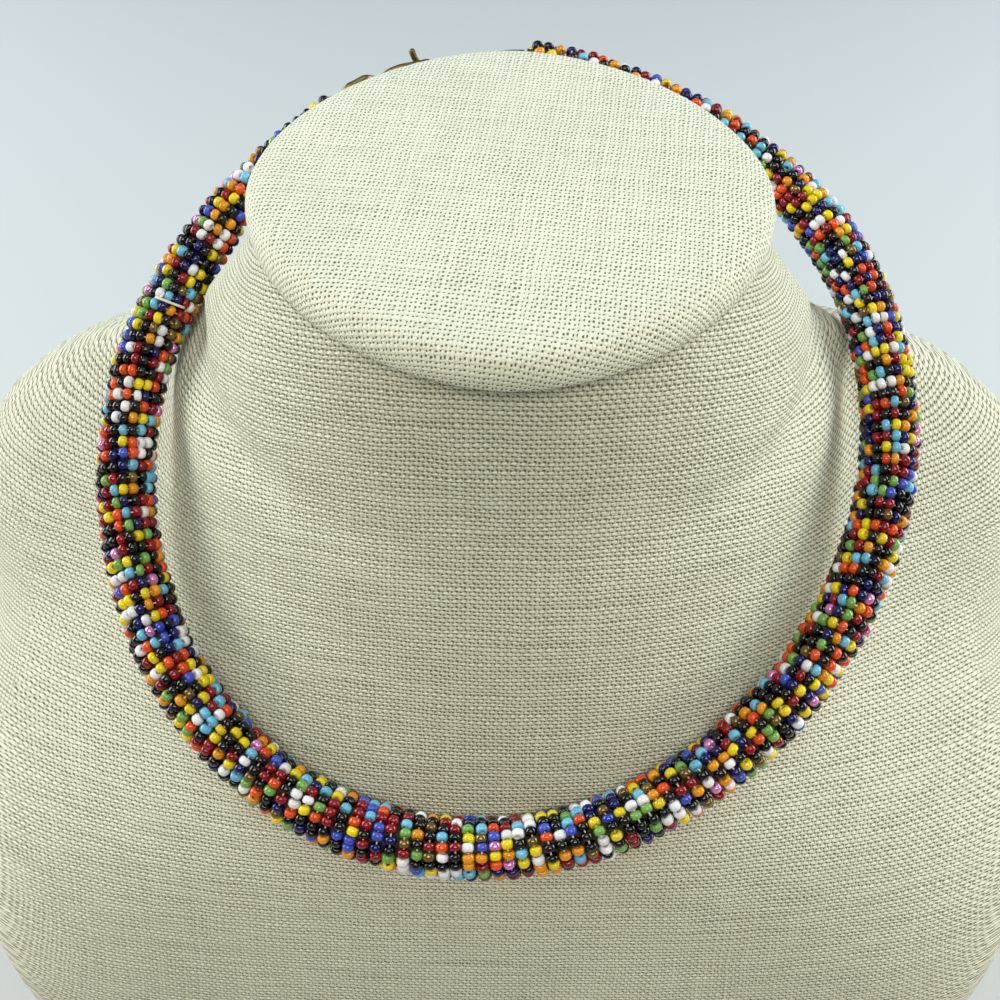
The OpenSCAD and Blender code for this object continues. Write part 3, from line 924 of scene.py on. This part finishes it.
class COLLAR_OT_bead_thread(bpy.types.Operator):
    """White thread that carries the beads, with one loose loop of it on the left"""
    bl_idname = "collar.bead_thread"
    bl_label = "Bead thread"

    def execute(self, context):
        settings = context.scene.collar_beads
        cotton = cotton_cord("waxed_cotton_thread", "D8D2C4", "F4F1E8", 1800)
        strand = wound_piece("bead_thread", {"Start": 0.0, "End": 1.0, "Seed": settings.seed,
                                             "Beads": False, "Finish": cotton})
        dress(strand, cotton, "core_cotton")
        for name, knots in (("loose_thread", LOOSE_THREAD), ("loose_thread_end", LOOSE_END)):
            points = [on_rope(*knot) for knot in knots]
            loop = tube(name, smooth_path(points, LOOSE_STEPS),
                        LOOSE_THICKNESS * settings.thread_width, LOOSE_SIDES)
            dress(loop, cotton, "core_cotton")
        return {"FINISHED"}


class COLLAR_OT_cord_core(bpy.types.Operator):
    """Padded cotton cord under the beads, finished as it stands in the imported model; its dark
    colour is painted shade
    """
    bl_idname = "collar.cord_core"
    bl_label = "Cord core"

    def execute(self, context):
        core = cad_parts["rope_core"]
        # the cord's dark colour is painted shade: it stands for the shade deep between the beads
        cotton = cotton_cord("cotton_cord_core", "2A2620", "4C463B", 700)
        if not core.data.materials:
            core.data.materials.append(cotton)
        for i in range(len(core.data.materials)):
            core.data.materials[i] = cotton
        return {"FINISHED"}


def eye_frame():
    """Middle of the eye, its direction along the rope and its two sides."""
    middle = route_at(EYE_AT) - EYE_SINK * MM * UP
    ahead = route_at(EYE_AT + 0.5) - route_at(EYE_AT - 0.5)
    ahead = Vector((ahead.x, ahead.y, 0)).normalized()
    level = UP.cross(ahead)
    lean = math.radians(EYE_LEAN)
    return middle, ahead, level, math.cos(lean) * level + math.sin(lean) * UP


class COLLAR_OT_clasp(bpy.types.Operator):
    """Hook and eye of bent brass wire, hooked together behind the neck"""
    bl_idname = "collar.clasp"
    bl_label = "Clasp"

    def execute(self, context):
        settings = context.scene.collar_clasp
        brass = aged_brass(settings)
        radius = settings.wire_width / 2
        middle, ahead, level, side = eye_frame()

        def arc(centre, r, t, first, second):
            return centre + r * MM * (math.cos(t) * first + math.sin(t) * second)

        # from the rope the wire humps up over two thirds of its straight length, steps up to the
        # eye's rim and goes round the eye
        start, stop = LEFT_END - WIRE_IN, EYE_AT + EYE_NECK
        points = []
        for i in range(EYE_STEPS + 1):
            u = i / EYE_STEPS
            rise = (EYE_HUMP * smooth(5 * u) * smooth((0.66 - u) / 0.24)
                    + EYE_STEP * smooth((u - 0.7) / 0.16) - EYE_SINK * smooth(3 * u))
            points.append(route_at(start + (stop - start) * u) + rise * MM * UP)
        rim = EYE_R + radius / MM
        points.append(arc(middle, rim + EYE_FLARE, math.radians(EYE_JOIN), ahead, side))
        points += [arc(middle, rim, math.radians(t), ahead, side) for t in range(*EYE_ARC)]
        dress(tube("brass_eye", points, radius, WIRE_SIDES), brass, "wire_brass", "eye_wire")

        # the hook's bend lies under the eye, and its tip comes up through it
        enter, end = math.radians(HOOK_ENTER), math.radians(HOOK_END)
        low = HOOK_BEND * (1 - math.cos(enter)) - HOOK_DROP
        back = HOOK_CROSS - low / math.tan(enter + math.radians(HOOK_SLOPE))
        bend_end = middle + low * MM * UP - back * MM * ahead
        inward = math.cos(enter) * UP - math.sin(enter) * ahead
        bend_mid = bend_end + HOOK_BEND * MM * inward
        base = bend_mid - HOOK_BEND * MM * UP
        tip_bend = HOOK_TIP / (end - enter)
        tip_mid = bend_end + tip_bend * MM * inward
        start, stop = RIGHT_END + WIRE_IN, 360 + EYE_AT - HOOK_NECK
        points = []
        for i in range(HOOK_STEPS + 1):
            a, share = start + (stop - start) * i / HOOK_STEPS, smooth(i / LEAD_STEPS)
            behind = HOOK_LEAD + HOOK_PITCH * (HOOK_STEPS - i)
            points.append((route_at(a) - HOOK_SINK * MM * UP) * (1 - share)
                          + (base - ahead * behind * MM) * share)
        points += [arc(bend_mid, HOOK_BEND, enter * i / BEND_STEPS, -UP, ahead)
                   for i in range(BEND_STEPS + 1)]
        points += [arc(tip_mid, tip_bend, enter + (end - enter) * i / TIP_STEPS, -UP, ahead)
                   for i in range(1, TIP_STEPS + 1)]
        dress(tube("brass_hook", points, radius, WIRE_SIDES, level), brass, "wire_brass",
              "hook_wire")
        return {"FINISHED"}


# Lamps: name, which power and colour settings, width, depth and place in metres
LAMPS = [
    ("top", "top_light", "cool", 0.5, 0.5, (0, -0.1, 0.95)),
    ("front", "front_light", "warm", 0.8, 0.2, (0, -0.45, 0.85)),
    ("high_left", "high_light", "cool", 0.4, 0.4, (-0.7, 0.35, 0.5)),
    ("high_right", "high_light", "cool", 0.4, 0.4, (0.7, 0.35, 0.5)),
    ("low_left", "low_light", "warm", 0.4, 0.4, (-0.85, 0.1, 0.28)),
    ("low_right", "low_light", "warm", 0.4, 0.4, (0.85, 0.1, 0.28)),
]
LAMPS_AIM, TABLE_REACH = (0, 0, 0.1), 4
# A focal length of 1100 pixels in a picture 1000 wide is a 39.6 mm lens on a 36 mm sensor
LENS, SENSOR, NEAREST, FARTHEST = 39.6, 36, 0.01, 20
CAMERA_AT, CAMERA_PITCH, CAMERA_ROLL = (-0.000924, -0.13687, 0.27076), math.radians(40), 0.015


class COLLAR_OT_stage(bpy.types.Operator):
    """Pale tabletop, soft lights above, in front and at both sides, and the camera"""
    bl_idname = "collar.stage"
    bl_label = "Stage"

    def execute(self, context):
        settings = context.scene.collar_stage
        scene = context.scene
        scene.view_settings.view_transform = "Standard"
        corners = [(x * TABLE_REACH, y * TABLE_REACH, 0)
                   for x, y in ((-1, -1), (1, -1), (1, 1), (-1, 1))]
        floor = object_from("tabletop", corners, [(0, 1, 2, 3)], False)
        floor.data.materials.append(matt_tabletop(settings))
        world = bpy.data.worlds.new("room")
        world.use_nodes = True
        world.node_tree.nodes.clear()
        light = node(world.node_tree, "ShaderNodeBackground",
                     {0: opaque(settings.room), 1: settings.room_light})
        node(world.node_tree, "ShaderNodeOutputWorld", {0: light.outputs[0]})
        scene.world = world
        for name, power, colour, wide, deep, place in LAMPS:
            lamp = bpy.data.lights.new(name, "AREA")
            lamp.shape = "RECTANGLE"
            lamp.color, lamp.energy = getattr(settings, colour), getattr(settings, power)
            lamp.size, lamp.size_y = wide, deep
            holder = bpy.data.objects.new(name + "_light", lamp)
            aim = Vector(LAMPS_AIM) - Vector(place)
            holder.matrix_world = (Matrix.Translation(place)
                                   @ aim.to_track_quat("-Z", "Y").to_matrix().to_4x4())
            scene.collection.objects.link(holder)
        view = bpy.data.cameras.new("camera")
        view.lens, view.sensor_width = LENS, SENSOR
        view.clip_start, view.clip_end = NEAREST, FARTHEST
        camera = bpy.data.objects.new("camera", view)
        camera.matrix_world = (Matrix.Translation(CAMERA_AT)
                               @ Matrix.Rotation(CAMERA_PITCH, 4, "X")
                               @ Matrix.Rotation(CAMERA_ROLL, 4, "Z"))
        scene.collection.objects.link(camera)
        scene.camera = camera
        return {"FINISHED"}


STEPS = (COLLAR_OT_stage, COLLAR_OT_bust_cover, COLLAR_OT_cap_cover, COLLAR_OT_cord_core,
         COLLAR_OT_seed_beads, COLLAR_OT_bead_thread, COLLAR_OT_clasp)


class COLLAR_PT_panel(bpy.types.Panel):
    """Sizes, colours and building steps of the collar"""
    bl_idname = "COLLAR_PT_panel"
    bl_label = "Beaded collar"
    bl_space_type = "VIEW_3D"
    bl_region_type = "UI"
    bl_category = "Collar"

    def draw(self, context):
        for step in STEPS:
            self.layout.operator(step.bl_idname)
        for group in (context.scene.collar_beads, context.scene.collar_linen,
                      context.scene.collar_clasp, context.scene.collar_stage):
            box = self.layout.box()
            for key in group.__annotations__:
                box.prop(group, key)


GROUPS = {"collar_beads": CollarBeadSettings, "collar_linen": CollarLinenSettings,
          "collar_clasp": CollarClaspSettings, "collar_stage": CollarStageSettings}
CLASSES = (*GROUPS.values(), *STEPS, COLLAR_PT_panel)


def register():
    for each in CLASSES:
        bpy.utils.register_class(each)
    for name, group in GROUPS.items():
        setattr(bpy.types.Scene, name, PointerProperty(type=group))


def unregister():
    for name in GROUPS:
        delattr(bpy.types.Scene, name)
    for each in reversed(CLASSES):
        bpy.utils.unregister_class(each)


def main():
    register()
    for step in STEPS:
        getattr(bpy.ops.collar, step.bl_idname.split(".")[1])()


if __name__ == "__main__":
    main()
